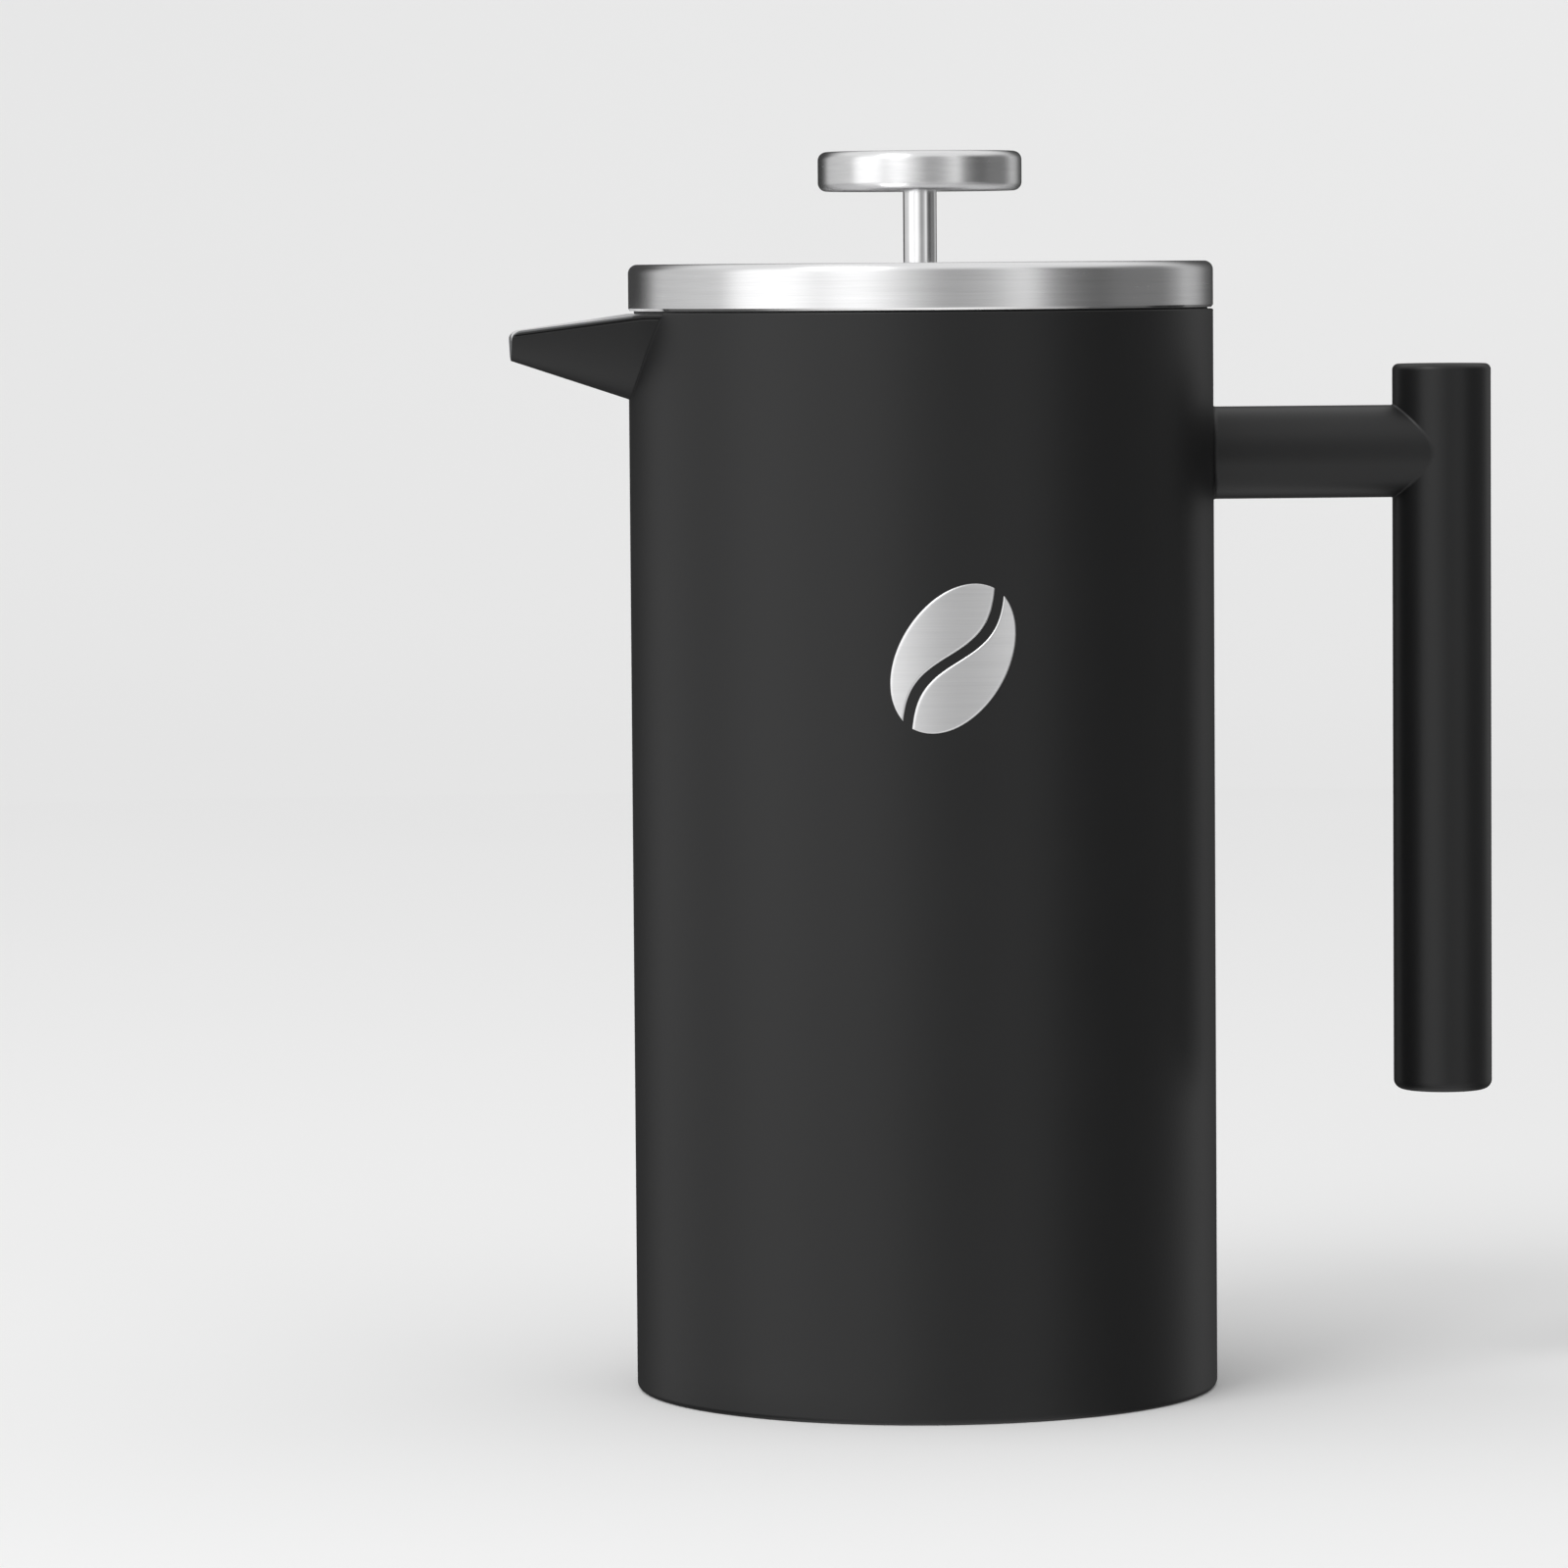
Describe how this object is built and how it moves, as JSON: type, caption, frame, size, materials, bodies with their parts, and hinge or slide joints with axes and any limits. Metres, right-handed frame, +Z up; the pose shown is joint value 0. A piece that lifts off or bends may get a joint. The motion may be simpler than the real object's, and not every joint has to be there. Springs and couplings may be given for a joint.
{
  "type": "french press",
  "caption": "Double-walled steel coffee press: cylindrical carafe with a V spout and tubular handle, lift-off lid with pouring slots, and a sliding plunger with a mesh filter.",
  "frame": {"origin": "centre of the circle the carafe stands on", "axes": "+Z up along the carafe's axis, +X towards the handle, -X towards the spout, emblem faces -Y"},
  "size_m": [0.1757, 0.1042, 0.2205],
  "materials": {
    "coating": "matte charcoal powder coat",
    "steel_brushed": "brushed round the axis",
    "steel_satin": "satin",
    "steel_polished": "polished",
    "mesh": "woven wire",
    "silicone": "matte"
  },
  "bodies": {
    "carafe": {"outer_shell": "coating", "inner_vessel": "steel_satin", "vessel_floor": "steel_satin", "base_plate": "steel_satin", "vacuum_seal": "steel_satin", "spout": "coating", "handle_arm": "coating", "grip_tube": "coating", "grip_cap_top": "coating", "grip_cap_bottom": "coating", "emblem": "steel_brushed"},
    "gasket": {"lid_gasket": "silicone"},
    "lid": {"lid_cap": "steel_brushed", "lid_pan": "steel_satin", "lid_skirt": "steel_satin"},
    "bush": {"rod_bush": "steel_polished", "bush_washer": "silicone", "bush_nut": "steel_polished"},
    "plunger": {"knob": "steel_brushed", "stem_sleeve": "steel_polished", "plunger_rod": "steel_polished", "rod_collar": "steel_polished", "spring_plate": "steel_satin", "edge_spring": "steel_polished", "fine_screen": "mesh", "coarse_screen": "mesh", "cross_plate": "steel_satin", "hub_nut": "steel_polished"}
  },
  "joints": [
    {"name": "lid_lift", "type": "slide", "parent": "carafe", "child": "gasket", "axis": [0, 0, 1], "range_m": [0, 0.2]},
    {"name": "lid_turn", "type": "hinge", "parent": "gasket", "child": "lid", "pos_m": [0, 0, 0.1928], "axis": [0, 0, 1], "continuous": true},
    {"name": "plunger_turn", "type": "hinge", "parent": "lid", "child": "bush", "pos_m": [0, 0, 0.2008], "axis": [0, 0, 1], "continuous": true},
    {"name": "plunger_slide", "type": "slide", "parent": "bush", "child": "plunger", "axis": [0, 0, 1], "range_m": [0, 0.15]}
  ]
}
